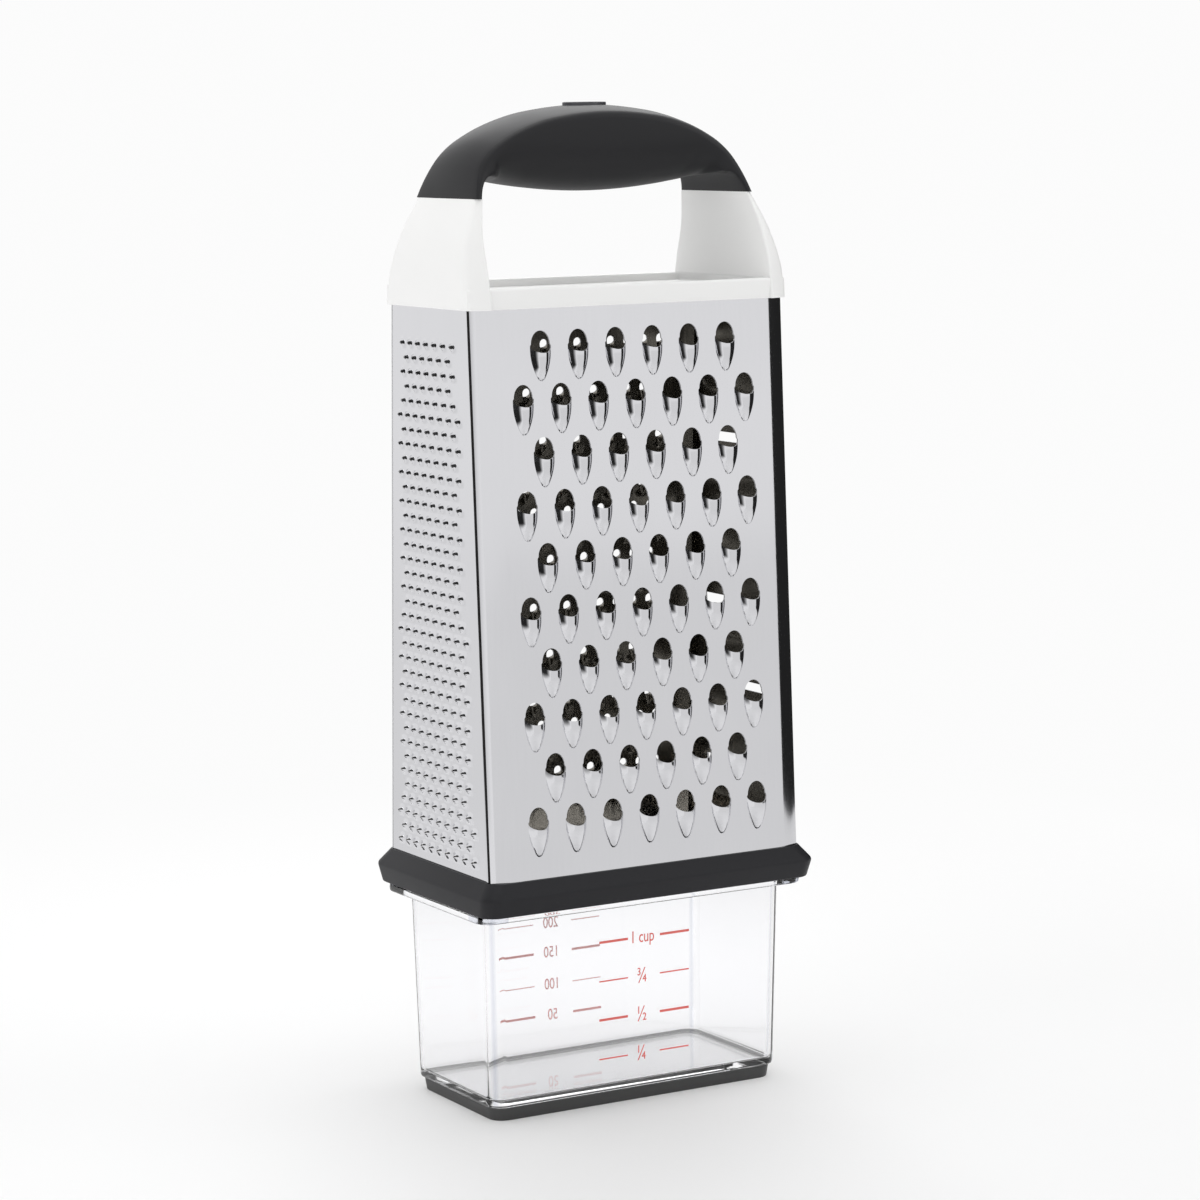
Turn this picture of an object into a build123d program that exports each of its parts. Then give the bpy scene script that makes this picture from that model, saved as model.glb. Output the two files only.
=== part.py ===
from build123d import *
import os
from math import atan2, cos, radians, sin, tan

os.makedirs("parts", exist_ok=True)

# All lengths are in millimetres. The coarse face looks along -Y and the fine face along -X.
# The origin is under the middle of the foot, on the surface that the grater stands on.

# Steel body
body_width = 108.0
body_depth_bottom = 68.8
body_depth_top = 54.6
steel_height = 169.0
steel_head = 3.6
sheet = 0.6
roll_width = 8.0
roll_turn = 35.0
seam_gap = 0.25

# Container and foot
foot_height = 4.1
foot_width = 98.9
foot_depth = 48.7
foot_flare = 0.5
foot_ring = 3.2
container_bottom_width = 101.8
container_bottom_depth = 51.2
container_top_width = 104.2
container_top_depth = 54.2
container_height = 60.7
container_corner = 5.0
container_edge_bevel = 1.2
container_wall = 1.8
container_floor = 2.0
rim_reach = 5.0
rim_thickness = 2.2
upstand_height = 4.0
upstand_wall = 0.9

# Collar and the frame inside it
collar_bottom_width = 115.0
collar_bottom_depth = 71.5
collar_width = 116.6
collar_depth = 75.2
collar_corner = 5.0
collar_side_height = 5.7
collar_bevel_height = 4.4
collar_top_reach = 0.6
frame_plate = 2.0
frame_wall = 1.6
frame_wall_height = 5.0

# Clearances
seat_gap = 0.3
upstand_gap = 0.5
fit_gap = 0.1

# Cap and handle
cap_overhang = 1.0
cap_height = 6.2
cap_tray_depth = 2.4
cap_rail = 2.4
cap_skin = 1.6
cap_skirt_depth = 9.0
cap_skirt_wall = 1.6
leg_base_thickness = 6.7
leg_top_thickness = 2.8
leg_top_half_width = 48.5
leg_top_half_depth = 19.5
leg_top_crease = 18.6
leg_height = 32.1
grip_rise = 27.1
grip_half_depth = 15.6
grip_crown = 2.4
grip_end_crown = 0.9
grip_corner_in = 6.2
grip_corner_rise = 6.2
grip_belly_rise = 1.2
grip_belly_centre = 15.8
core_cover = 0.9
core_drop = 3.0
core_thickness = 1.2
core_half_depth = 10.0
badge_length = 14.6
badge_width = 8.0
badge_raise = 0.8
badge_sink = 1.0

# Coarse teeth: a rounded opening above a hollow half cone
coarse_rows = 10
coarse_long_row = 7
coarse_pitch = 12.8
coarse_row_pitch = 16.05
coarse_first_row = 11.0
coarse_opening = 6.4
coarse_opening_height = 6.3
coarse_mouth = 6.9
coarse_rise = 2.4
coarse_length = 9.6
coarse_tip_width = 1.8

# Medium teeth: a three-sided opening above a small scale
medium_rows = 20
medium_long_row = 15
medium_pitch = 6.05
medium_row_pitch = 7.58
medium_first_row = 9.8
medium_opening = 3.0
medium_opening_height = 2.6
medium_rise = 1.1
medium_length = 3.4

# Fine teeth: four-sided points
fine_rows = 36
fine_pitch = 5.2
fine_row_pitch = 4.38
fine_first_row = 4.6
fine_base = 2.2
fine_rise = 0.9
fine_margin = 7.2

# Slicing slots: a wide opening above a sloping blade
slot_rows = 6
slot_pitch = 26.0
slot_first_row = 18.0
slot_width = 38.0
slot_opening = 3.4
slot_rise = 2.2
slot_length = 9.0

# One overrun serves every cut
overrun = 5.0

# Heights and shapes that follow from the sizes above
rim_top = foot_height + container_height
collar_bottom = rim_top + seat_gap
collar_crease = collar_bottom + collar_side_height
body_bottom = collar_crease + collar_bevel_height
body_top = body_bottom + steel_height
steel_bottom = collar_bottom + frame_plate
steel_top = body_top + steel_head
cap_top = body_top + cap_height
tray_floor = cap_top - cap_tray_depth
skirt_bottom = body_top - cap_skirt_depth
leg_top = body_top + leg_height
grip_top = leg_top + grip_rise

half_width = body_width / 2
flat_half_width = half_width - roll_width
roll_radius = roll_width / sin(radians(roll_turn))
roll_drop = roll_radius * (1 - cos(radians(roll_turn)))
bow_along_share = sin(radians(roll_turn / 2)) / sin(radians(roll_turn))
bow_across_share = (1 - cos(radians(roll_turn / 2))) / (1 - cos(radians(roll_turn)))
lean = atan2((body_depth_bottom - body_depth_top) / 2, steel_height)


def half_depth_at(height):
    # Half the distance between the leaning front and back faces.
    return body_depth_bottom / 2 - (height - body_bottom) * tan(lean)


def body_outline(height, grow=0.0):
    # The body seen from above: flat front and back, edges rolled back to a crease, flat sides.
    depth = half_depth_at(height) + grow
    width = half_width + grow
    crease = depth - roll_drop
    bow_x = flat_half_width + (width - flat_half_width) * bow_along_share
    bow_y = depth - roll_drop * bow_across_share
    with BuildSketch(Plane.XY.offset(height)) as outline:
        with BuildLine():
            for side in (1, -1):
                Line((-side * flat_half_width, side * depth), (side * flat_half_width, side * depth))
                ThreePointArc((side * flat_half_width, side * depth), (side * bow_x, side * bow_y),
                              (side * width, side * crease))
                Line((side * width, side * crease), (side * width, -side * crease))
                ThreePointArc((side * width, -side * crease), (side * bow_x, -side * bow_y),
                              (side * flat_half_width, -side * depth))
        make_face()
    return outline.sketch


def body_form(low, high, grow=0.0):
    # The two ends of a solid that fills the body outline between two heights.
    return [body_outline(low, grow), body_outline(high, grow)]


def rounded_levels(levels, corner):
    # The sections of a rounded box through (height, width, depth) levels.
    sections = []
    for height, width, depth in levels:
        with BuildSketch(Plane.XY.offset(height)) as level:
            RectangleRounded(width, depth, corner)
        sections.append(level.sketch)
    return sections


def staggered_rows(rows, first, row_pitch, long_row, pitch, start=0):
    # Places in rows where each second row is one shorter; start 1 puts a short row first.
    places = []
    for row in range(rows):
        count = long_row - (row + start) % 2
        for column in range(count):
            places.append(((column - (count - 1) / 2) * pitch, first + row * row_pitch))
    return places


def mirrored(points):
    # Closes a half outline, given from one side to the middle, by its mirror image.
    return points + [(-x, y) for x, y in reversed(points) if x != 0]


# The four faces of the body, each with its x across, y up the face and z outward.
front_face = Plane((0, -body_depth_bottom / 2, body_bottom), x_dir=(1, 0, 0),
                   z_dir=(0, -cos(lean), sin(lean)))
back_face = Plane((0, body_depth_bottom / 2, body_bottom), x_dir=(-1, 0, 0),
                  z_dir=(0, cos(lean), sin(lean)))
fine_face = Plane((-half_width, 0, body_bottom), x_dir=(0, -1, 0), z_dir=(-1, 0, 0))
slicing_face = Plane((half_width, 0, body_bottom), x_dir=(0, 1, 0), z_dir=(1, 0, 0))


def rolled_sheet_profile():
    # The cut edge of the front sheet: flat across the middle, rolled back at both sides.
    centre_y = roll_radius - half_depth_at(steel_bottom)

    def at(radius, angle, side):
        return (side * (flat_half_width + radius * sin(angle)), centre_y - radius * cos(angle))

    with BuildSketch(Plane.XY.offset(steel_bottom)) as profile:
        with BuildLine():
            for radius in (roll_radius, roll_radius - sheet):
                Line(at(radius, 0, -1), at(radius, 0, 1))
                for side in (1, -1):
                    ThreePointArc(at(radius, 0, side), at(radius, radians(roll_turn / 2), side),
                                  at(radius, radians(roll_turn), side))
            for side in (1, -1):
                Line(at(roll_radius, radians(roll_turn), side),
                     at(roll_radius - sheet, radians(roll_turn), side))
        make_face()
    return profile.sketch


def side_sheet_profile(face):
    # A side sheet, as wide as the space between the rolled edges at each height.
    low = half_depth_at(steel_bottom) - roll_drop - sheet - seam_gap
    high = half_depth_at(steel_top) - roll_drop - sheet - seam_gap
    with BuildSketch(face) as profile:
        with BuildLine():
            Polyline((-low, steel_bottom - body_bottom), (low, steel_bottom - body_bottom),
                     (high, steel_top - body_bottom), (-high, steel_top - body_bottom), close=True)
        make_face()
    return profile.sketch


shoulder_share = 0.55


def arched_half(half, rise):
    # Half of a three-facet arch, from its foot to its shoulder.
    return [(half, 0), (half * shoulder_share, rise)]


def tooth_section(half_width_here, base, along):
    # A section across a coarse tooth at a distance from its mouth; all sections have one shape.
    rise = half_width_here * coarse_rise / (coarse_mouth / 2)
    outline = mirrored(arched_half(half_width_here, rise))
    with BuildSketch(Plane((0, along, 0), x_dir=(1, 0, 0), z_dir=(0, -1, 0))) as profile:
        with BuildLine():
            Polyline((half_width_here, base), *outline, (-half_width_here, base), close=True)
        make_face()
    return profile.sketch


hollow_half = coarse_mouth / 2 - sheet


def opening_profile(half_points):
    # The outline of an opening, mirrored from its half.
    with BuildSketch(Plane.XY.offset(-overrun)) as profile:
        with BuildLine():
            Polyline(*mirrored(half_points), close=True)
        make_face()
    return profile.sketch


# Coarse tooth, on the XY plane: x across, y up the face and z outward.
opening_round = coarse_opening / 2
opening_straight = coarse_opening_height - opening_round
coarse_opening_half = [(hollow_half, 0)]
coarse_opening_half += [(x, opening_straight + y) for x, y in arched_half(opening_round, opening_round)]

# The blister tapers from its mouth to a blunt tip, and its hollow runs out in a point.
with BuildPart() as coarse_blister:
    loft([tooth_section(coarse_mouth / 2, -sheet / 2, 0),
          tooth_section(coarse_tip_width / 2, -sheet / 2, -coarse_length)], ruled=True)

with BuildPart() as coarse_hollow:
    loft([tooth_section(hollow_half, -overrun, 0), Vertex(0, sheet - coarse_length, -sheet)], ruled=True)
    extrude(opening_profile(coarse_opening_half), amount=2 * overrun)

# Medium tooth: the scale rises from a point below to a lip above, where the opening is.
scale_share = (medium_rise + sheet / 2) / medium_rise
with BuildPart() as medium_scale:
    with BuildSketch(Plane.XY.offset(-sheet / 2)) as scale_base:
        with BuildLine():
            Polyline((-medium_opening / 2 * scale_share, 0), (medium_opening / 2 * scale_share, 0),
                     (0, -medium_length * scale_share), close=True)
        make_face()
    loft([scale_base.sketch, Vertex(0, 0, medium_rise)], ruled=True)

with BuildPart() as medium_hole:
    extrude(opening_profile([(medium_opening / 2, 0), (0, medium_opening_height)]), amount=2 * overrun)

# Fine tooth: a four-sided point.
point_share = (fine_rise + sheet / 2) / fine_rise
with BuildPart() as fine_point:
    with BuildSketch(Plane.XY.offset(-sheet / 2)) as point_base:
        RegularPolygon(radius=fine_base * point_share / 2, side_count=4)
    loft([point_base.sketch, Vertex(0, 0, fine_rise)], ruled=True)

# Slicing slot: a sloping blade across the face, open at its upper edge.
def blade_profile(side, lower):
    # The side view of a sloping blade, and with a lowering its hollow.
    with BuildSketch(Plane((side, 0, 0), x_dir=(0, 1, 0), z_dir=(1, 0, 0))) as profile:
        with BuildLine():
            Polyline((0, slot_rise - lower), (-slot_length, -lower), (-slot_length, -sheet - lower),
                     (0, -sheet - lower), close=True)
        make_face()
    return profile.sketch


with BuildPart() as slot_blade:
    extrude(blade_profile(-slot_width / 2, 0), amount=slot_width)

with BuildPart() as slot_hollow:
    extrude(blade_profile(sheet - slot_width / 2, sheet), amount=slot_width - 2 * sheet)
    with BuildSketch(Plane.XY.offset(-overrun)):
        with Locations((0, slot_opening / 2)):
            Rectangle(slot_width, slot_opening)
    extrude(amount=2 * overrun)

# Coarse face: one sheet with rolled edges, its blisters and their openings.
with BuildPart() as plain_sheet:
    extrude(rolled_sheet_profile(), amount=(steel_top - steel_bottom) / cos(lean),
            dir=(0, sin(lean), cos(lean)))

coarse_places = staggered_rows(coarse_rows, coarse_first_row, coarse_row_pitch,
                               coarse_long_row, coarse_pitch)
with BuildPart() as coarse_panel:
    add(plain_sheet.part)
    with Locations(*[front_face.location * Pos(x, y) for x, y in coarse_places]):
        add(coarse_blister.part)
    with Locations(*[front_face.location * Pos(x, y) for x, y in coarse_places]):
        add(coarse_hollow.part, mode=Mode.SUBTRACT)
coarse_panel.part.label = "coarse_panel"
export_step(coarse_panel.part, "parts/coarse_panel.step")

# Medium face: the same sheet turned to the back, with scales and three-sided holes.
medium_places = staggered_rows(medium_rows, medium_first_row, medium_row_pitch,
                               medium_long_row, medium_pitch, start=1)
with BuildPart() as medium_panel:
    mirror(plain_sheet.part, about=Plane.XZ)
    with Locations(*[back_face.location * Pos(x, y) for x, y in medium_places]):
        add(medium_scale.part)
    with Locations(*[back_face.location * Pos(x, y) for x, y in medium_places]):
        add(medium_hole.part, mode=Mode.SUBTRACT)
medium_panel.part.label = "medium_panel"
export_step(medium_panel.part, "parts/medium_panel.step")

# Fine face: a side sheet with as many points in each row as its width allows.
fine_places = []
for row in range(fine_rows):
    along = fine_first_row + row * fine_row_pitch
    reach = half_depth_at(body_bottom + along) - roll_drop - fine_margin
    for column in range(-fine_rows, fine_rows):
        across = (column + (row + 1) % 2 / 2) * fine_pitch
        if abs(across) < reach:
            fine_places.append((across, along))

with BuildPart() as fine_panel:
    extrude(side_sheet_profile(fine_face), amount=-sheet)
    with Locations(*[fine_face.location * Pos(x, y) for x, y in fine_places]):
        add(fine_point.part)
fine_panel.part.label = "fine_panel"
export_step(fine_panel.part, "parts/fine_panel.step")

# Slicing face: a side sheet with wide slots.
slot_places = [(0, slot_first_row + row * slot_pitch) for row in range(slot_rows)]
with BuildPart() as slicing_panel:
    extrude(side_sheet_profile(slicing_face), amount=-sheet)
    with Locations(*[slicing_face.location * Pos(x, y) for x, y in slot_places]):
        add(slot_blade.part)
    with Locations(*[slicing_face.location * Pos(x, y) for x, y in slot_places]):
        add(slot_hollow.part, mode=Mode.SUBTRACT)
slicing_panel.part.label = "slicing_panel"
export_step(slicing_panel.part, "parts/slicing_panel.step")

# Container: a clear tub with a rim to carry the grater and an upstand that centres it.
floor_level = foot_height + container_floor
inside_width = container_top_width - 2 * container_wall
inside_depth = container_top_depth - 2 * container_wall
inside_corner = container_corner - container_wall
upstand_width = inside_width + 2 * upstand_wall
upstand_depth = inside_depth + 2 * upstand_wall
tub_levels = [(foot_height, container_bottom_width, container_bottom_depth),
              (rim_top, container_top_width, container_top_depth)]
floor_width = container_bottom_width - 2 * container_wall
floor_depth = container_bottom_depth - 2 * container_wall
inside_levels = [(floor_level, floor_width, floor_depth), (rim_top, inside_width, inside_depth)]
with BuildPart() as container:
    loft(rounded_levels(tub_levels, container_corner), ruled=True)
    chamfer(container.faces().sort_by(Axis.Z)[0].edges(), length=container_edge_bevel)
    with BuildSketch(Plane.XY.offset(rim_top - rim_thickness)):
        RectangleRounded(container_top_width + 2 * rim_reach, container_top_depth + 2 * rim_reach,
                         container_corner)
    extrude(amount=rim_thickness)
    with BuildSketch(Plane.XY.offset(rim_top)):
        RectangleRounded(upstand_width, upstand_depth, inside_corner + upstand_wall)
    extrude(amount=upstand_height)
    loft(rounded_levels(inside_levels, inside_corner), ruled=True, mode=Mode.SUBTRACT)
    with BuildSketch(Plane.XY.offset(rim_top)):
        RectangleRounded(inside_width, inside_depth, inside_corner)
    extrude(amount=upstand_height + overrun, mode=Mode.SUBTRACT)
container.part.label = "container"
export_step(container.part, "parts/container.step")

# Foot: a ring under the container.
with BuildPart() as container_foot:
    loft(rounded_levels([(0, foot_width, foot_depth),
                         (foot_height, foot_width + 2 * foot_flare, foot_depth + 2 * foot_flare)],
                        container_corner), ruled=True)
    with BuildSketch():
        RectangleRounded(foot_width - 2 * foot_ring, foot_depth - 2 * foot_ring,
                         container_corner - foot_ring)
    extrude(amount=foot_height + overrun, mode=Mode.SUBTRACT)
container_foot.part.label = "container_foot"
export_step(container_foot.part, "parts/container_foot.step")

# Collar: a bevelled band around the lower edge of the steel.
collar_top_width = body_width + 2 * collar_top_reach
collar_top_depth = body_depth_bottom + 2 * collar_top_reach
with BuildPart() as collar:
    loft(rounded_levels([(collar_bottom, collar_bottom_width, collar_bottom_depth),
                         (collar_crease, collar_width, collar_depth)], collar_corner), ruled=True)
    loft(rounded_levels([(collar_crease, collar_width, collar_depth),
                         (body_bottom, collar_top_width, collar_top_depth)], collar_corner), ruled=True)
    loft(body_form(collar_bottom - overrun, body_bottom + overrun, fit_gap), ruled=True, mode=Mode.SUBTRACT)
collar.part.label = "collar"
export_step(collar.part, "parts/collar.step")

# Base frame: a plate under the steel edge and a wall that holds the steel from inside.
frame_top = steel_bottom + frame_wall_height
wall_outside = -sheet - fit_gap
with BuildPart() as base_frame:
    loft(body_form(collar_bottom, steel_bottom), ruled=True)
    loft(body_form(steel_bottom, frame_top, wall_outside), ruled=True)
    loft(body_form(collar_bottom - overrun, frame_top + overrun, wall_outside - frame_wall),
         ruled=True, mode=Mode.PRIVATE)
    with BuildSketch(Plane.XY.offset(collar_bottom)):
        RectangleRounded(upstand_width + 2 * upstand_gap, upstand_depth + 2 * upstand_gap, container_corner)
    extrude(amount=frame_top, mode=Mode.SUBTRACT)
base_frame.part.label = "base_frame"
export_step(base_frame.part, "parts/base_frame.step")

# Shares that shape a leg, from zero at the cap to one at its top: the rise, how far the outside
# has come in, how far the crease has come in, how far it has thinned and how far its depth has.
leg_shares = [(0, 0, 0, 0, 0), (0.37, 0.08, 0.25, 0.17, 0.23),
              (0.68, 0.4, 0.58, 0.55, 0.6), (1, 1, 1, 1, 1)]
# Shares of the half width and the rise along half of the arch.
arch_shares = [(1, 0), (0.94, 0.34), (0.805, 0.642), (0.595, 0.842), (0.285, 0.967)]


def between(low, high, share):
    # A size part of the way from one size to another.
    return low + (high - low) * share


def leg_sections(side):
    # A leg narrows, thins and leans inward as it rises.
    base_depth = half_depth_at(body_top) + cap_overhang
    sections = []
    for rise, inward, crease_in, thin, depth_in in leg_shares:
        outside = between(half_width + cap_overhang, leg_top_half_width, inward)
        inside = outside - between(leg_base_thickness, leg_top_thickness, thin)
        crease = between(base_depth - roll_drop, leg_top_crease, crease_in)
        depth = between(base_depth, leg_top_half_depth, depth_in)
        with BuildSketch(Plane.XY.offset(between(body_top, leg_top, rise))) as level:
            with BuildLine():
                Polyline((side * outside, -crease), (side * outside, crease), (side * inside, depth),
                         (side * inside, -depth), close=True)
            make_face()
        sections.append(level.sketch)
    return sections


def arch_points(in_from_side, down_from_top):
    # Points over the arch from one leg to the other.
    half = [((leg_top_half_width - in_from_side) * across, leg_top + (grip_rise - down_from_top) * up)
            for across, up in arch_shares]
    return half + [(0, grip_top - down_from_top)] + [(-x, z) for x, z in reversed(half)]


def arch_form(distance, in_from_side, down_from_top):
    # Everything under an arch, drawn on a plane at a distance from the middle.
    points = arch_points(in_from_side, down_from_top)
    with BuildSketch(Plane.XZ.offset(distance)) as form:
        with BuildLine():
            Spline(*points)
            Line(points[-1], points[0])
        make_face()
    return form.sketch


def arch_band(half_depth, outside_gap):
    # A thin arch that joins the legs inside the grip; a gap makes the hollow for it.
    outer = arch_points(core_cover - outside_gap, core_drop - outside_gap)
    inner = arch_points(core_cover + core_thickness + outside_gap, core_drop + core_thickness + outside_gap)
    with BuildSketch(Plane.XZ.offset(-half_depth)) as band:
        with BuildLine():
            Spline(*outer)
            Line(outer[-1], inner[-1])
            Spline(*inner)
            Line(inner[0], outer[0])
        make_face()
    return band.sketch


# Handle: the cap over the steel, its two legs and the arch inside the grip.
with BuildPart() as steel_channel:
    loft(body_form(body_top - overrun, steel_top, fit_gap), ruled=True)
    loft(body_form(body_top - overrun, steel_top, wall_outside), ruled=True, mode=Mode.SUBTRACT)

with BuildPart() as handle:
    loft(body_form(body_top, cap_top, cap_overhang), ruled=True)
    loft(body_form(tray_floor, cap_top + overrun, cap_overhang - cap_rail), ruled=True, mode=Mode.SUBTRACT)
    loft(body_form(skirt_bottom, body_top, wall_outside), ruled=True)
    for side in (-1, 1):
        loft(leg_sections(side), ruled=True)
    add(steel_channel.part, mode=Mode.SUBTRACT)
    loft(body_form(skirt_bottom - overrun, tray_floor - cap_skin, wall_outside - cap_skirt_wall),
         ruled=True, mode=Mode.SUBTRACT)
    extrude(arch_band(core_half_depth, 0), amount=2 * core_half_depth)
handle.part.label = "handle"
export_step(handle.part, "parts/handle.step")

# Grip: a crowned arch with a rounded belly, hollow for the arch of the handle.
belly_height = leg_top + grip_belly_centre
with BuildPart() as belly_cut:
    with BuildSketch(Plane.YZ.offset(grip_corner_in - leg_top_half_width)):
        with Locations((0, belly_height - grip_rise)):
            Rectangle(2 * grip_rise + overrun, 2 * grip_rise)
        with Locations((0, belly_height)):
            Ellipse(grip_half_depth, grip_belly_centre - grip_belly_rise, mode=Mode.SUBTRACT)
    extrude(amount=2 * (leg_top_half_width - grip_corner_in))

crown_places = [-leg_top_half_depth, -grip_half_depth, -grip_half_depth / 2, 0,
                grip_half_depth / 2, grip_half_depth, leg_top_half_depth]
corner_x = leg_top_half_width - grip_corner_in
corner_z = leg_top + grip_corner_rise
root_x = leg_top_half_width - leg_top_thickness
waist_share = 0.7
waist_height = between(leg_top, grip_top, waist_share)
with BuildPart() as grip:
    loft([arch_form(place, grip_end_crown * (place / leg_top_half_depth) ** 2,
                    grip_crown * (place / grip_half_depth) ** 2) for place in crown_places], ruled=True)
    with BuildSketch(Plane.YZ.offset(-half_width)):
        with BuildLine():
            Polyline((-grip_half_depth, grip_top + overrun), (grip_half_depth, grip_top + overrun))
            Spline((grip_half_depth, grip_top + overrun), (grip_half_depth, waist_height),
                   (leg_top_half_depth, leg_top))
            Line((leg_top_half_depth, leg_top), (-leg_top_half_depth, leg_top))
            Spline((-leg_top_half_depth, leg_top), (-grip_half_depth, waist_height),
                   (-grip_half_depth, grip_top + overrun))
        make_face()
    extrude(amount=body_width, mode=Mode.INTERSECT)
    with BuildSketch(Plane.XZ.offset(-half_width)):
        with BuildLine():
            Polyline((corner_x, corner_z), (root_x, leg_top), (root_x, leg_top - overrun),
                     (-root_x, leg_top - overrun), (-root_x, leg_top), (-corner_x, corner_z))
            ThreePointArc((-corner_x, corner_z), (0, leg_top + grip_belly_rise), (corner_x, corner_z))
        make_face()
    extrude(amount=body_width, mode=Mode.SUBTRACT)
    add(belly_cut.part, mode=Mode.SUBTRACT)
    extrude(arch_band(core_half_depth + fit_gap, fit_gap), amount=2 * (core_half_depth + fit_gap),
            mode=Mode.SUBTRACT)
    with BuildSketch(Plane.XY.offset(grip_top - badge_sink)):
        Ellipse(badge_length / 2 + fit_gap, badge_width / 2 + fit_gap)
    extrude(amount=badge_sink + overrun, mode=Mode.SUBTRACT)
grip.part.label = "grip"
export_step(grip.part, "parts/grip.step")

# Badge: a plain oval seated in the top of the grip.
with BuildPart() as grip_badge:
    with BuildSketch(Plane.XY.offset(grip_top - badge_sink)):
        Ellipse(badge_length / 2, badge_width / 2)
    extrude(amount=badge_sink + badge_raise)
grip_badge.part.label = "grip_badge"
export_step(grip_badge.part, "parts/grip_badge.step")
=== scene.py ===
import math
import bpy
import numpy as np
from mathutils import Matrix


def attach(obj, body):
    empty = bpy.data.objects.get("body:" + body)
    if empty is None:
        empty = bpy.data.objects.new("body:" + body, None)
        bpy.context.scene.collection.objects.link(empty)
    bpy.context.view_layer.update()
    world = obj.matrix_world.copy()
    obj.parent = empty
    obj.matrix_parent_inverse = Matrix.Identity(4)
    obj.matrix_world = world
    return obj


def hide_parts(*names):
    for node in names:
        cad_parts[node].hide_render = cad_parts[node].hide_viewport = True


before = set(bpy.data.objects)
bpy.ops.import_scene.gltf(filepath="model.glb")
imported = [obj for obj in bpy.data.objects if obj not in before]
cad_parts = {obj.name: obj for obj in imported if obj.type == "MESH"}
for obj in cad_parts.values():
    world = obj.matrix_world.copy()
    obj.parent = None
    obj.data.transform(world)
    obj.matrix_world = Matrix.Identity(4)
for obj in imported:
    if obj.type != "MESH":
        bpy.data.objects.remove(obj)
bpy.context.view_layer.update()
mm = 0.001  # sizes below are in millimetres, and a mesh gets metres

# shared shape helpers


def makePiece(name, points, faces, settings):
    # points is an array of places in millimetres; faces holds index arrays, one for each face size
    used, flat = np.unique(np.concatenate([part.ravel() for part in faces]), return_inverse=True)
    counts = np.concatenate([np.full(len(part), part.shape[1]) for part in faces])
    mesh = bpy.data.meshes.new(name)
    mesh.vertices.add(len(used))
    mesh.vertices.foreach_set("co", (points[used] * mm).astype(np.float32).ravel())
    mesh.loops.add(len(flat))
    mesh.loops.foreach_set("vertex_index", flat.astype(np.int32).ravel())
    mesh.polygons.add(len(counts))
    mesh.polygons.foreach_set("loop_start", (np.cumsum(counts) - counts).astype(np.int32))
    mesh.polygons.foreach_set("use_smooth", np.ones(len(counts), dtype=bool))
    if "finishes" in settings:
        mesh.polygons.foreach_set("material_index", settings["finishes"].astype(np.int32))
    mesh.update(calc_edges=True)
    mesh.set_sharp_from_angle(angle=math.radians(settings.get("sharpAngle", 40)))
    piece = bpy.data.objects.new(name, mesh)
    bpy.context.scene.collection.objects.link(piece)
    return piece


def finishPiece(piece, materials, bodyName, replaced=()):
    for material in materials:
        piece.data.materials.append(material)
    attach(piece, bodyName)
    if replaced:
        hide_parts(*replaced)


def gridQuads(rows, columns, closedRows=False, closedColumns=False):
    # each quad joins a grid point with its right, upper right and upper neighbours
    index = np.arange(rows * columns).reshape(rows, columns)
    low = index if closedRows else index[:-1]
    high = np.roll(index, -1, axis=0) if closedRows else index[1:]
    if closedColumns:
        lowRight, highRight = np.roll(low, -1, axis=1), np.roll(high, -1, axis=1)
    else:
        lowRight, highRight = low[:, 1:], high[:, 1:]
        low, high = low[:, :-1], high[:, :-1]
    return np.stack([low, lowRight, highRight, high], axis=-1)


def ringLoft(rings, closed=False):
    # rings is rows x points x 3; the first and last ring are closed with a flat face
    rings = np.asarray(rings)
    rows, count = rings.shape[:2]
    faces = [gridQuads(rows, count, closedRows=closed, closedColumns=True).reshape(-1, 4)]
    if not closed:
        faces.append(np.arange(count)[::-1].reshape(1, -1))
        faces.append((np.arange(count) + (rows - 1) * count).reshape(1, -1))
    return rings.reshape(-1, 3), faces


def softened(corners, reach, steps=3, closed=False):
    # each corner gives way to a curve (1-t)^2 start + 2t(1-t) corner + t^2 end,
    # with start and end at the reach along the two legs
    corners = np.asarray(corners, dtype=float)
    if closed:
        before, middle, after = np.roll(corners, 1, axis=0), corners, np.roll(corners, -1, axis=0)
    else:
        before, middle, after = corners[:-2], corners[1:-1], corners[2:]
    reach = np.asarray(reach, dtype=float)
    if reach.ndim:
        reach = reach.reshape((-1,) + (1,) * (corners.ndim - 1))

    def toward(other):
        leg = other - middle
        length = np.linalg.norm(leg, axis=-1, keepdims=True) + 1e-9
        return middle + leg * np.minimum(reach / length, 0.48)

    start, end = toward(before), toward(after)
    t = np.linspace(0, 1, steps + 1).reshape((-1,) + (1,) * corners.ndim)
    curve = (1 - t) ** 2 * start + 2 * t * (1 - t) * middle + t ** 2 * end
    curve = np.swapaxes(curve, 0, 1).reshape((-1,) + corners.shape[1:])
    return curve if closed else np.concatenate([corners[:1], curve, corners[-1:]])


def smoothThrough(points, perSpan):
    # a cubic through each span, its end slopes half the step between the span's neighbours
    p = np.asarray(points, dtype=float)
    ends = np.vstack([2 * p[0] - p[1], p, 2 * p[-1] - p[-2]])
    a, b, c, d = ends[:-3], ends[1:-2], ends[2:-1], ends[3:]
    t = np.linspace(0, 1, perSpan, endpoint=False).reshape(-1, 1, 1)
    curve = 0.5 * (2 * b + (c - a) * t + (2 * a - 5 * b + 4 * c - d) * t ** 2
                   + (3 * b - a - 3 * c + d) * t ** 3)
    return np.vstack([np.swapaxes(curve, 0, 1).reshape(-1, p.shape[1]), p[-1:]])


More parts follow.
